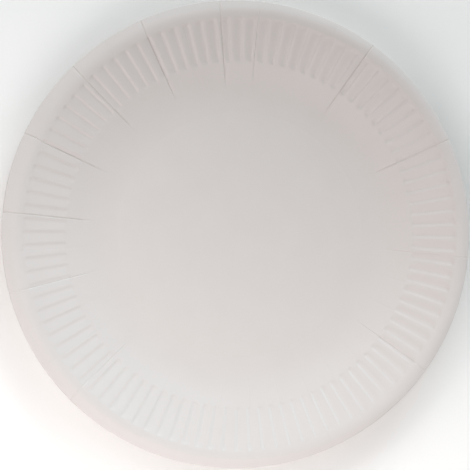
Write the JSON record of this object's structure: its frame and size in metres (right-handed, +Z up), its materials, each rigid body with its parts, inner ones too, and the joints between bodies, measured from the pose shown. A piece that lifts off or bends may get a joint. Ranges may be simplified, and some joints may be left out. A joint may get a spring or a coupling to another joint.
{
  "type": "paper plate",
  "caption": "Round white disposable paper plate: flat well, fluted sloping flank, score creases and a rim whose lip turns down.",
  "frame": {"origin": "centre of the well's underside, on the axis of the pressed form; the off-centre blank's own centre lies 1.9 mm from it towards -X", "axes": "+Z up out of the well, along the axis of the pressed form; -X towards the side where the rim is widest"},
  "size_m": [0.23, 0.23, 0.017],
  "materials": {
    "board": "satin"
  },
  "bodies": {
    "root": {"plate": "board"}
  },
  "joints": []
}
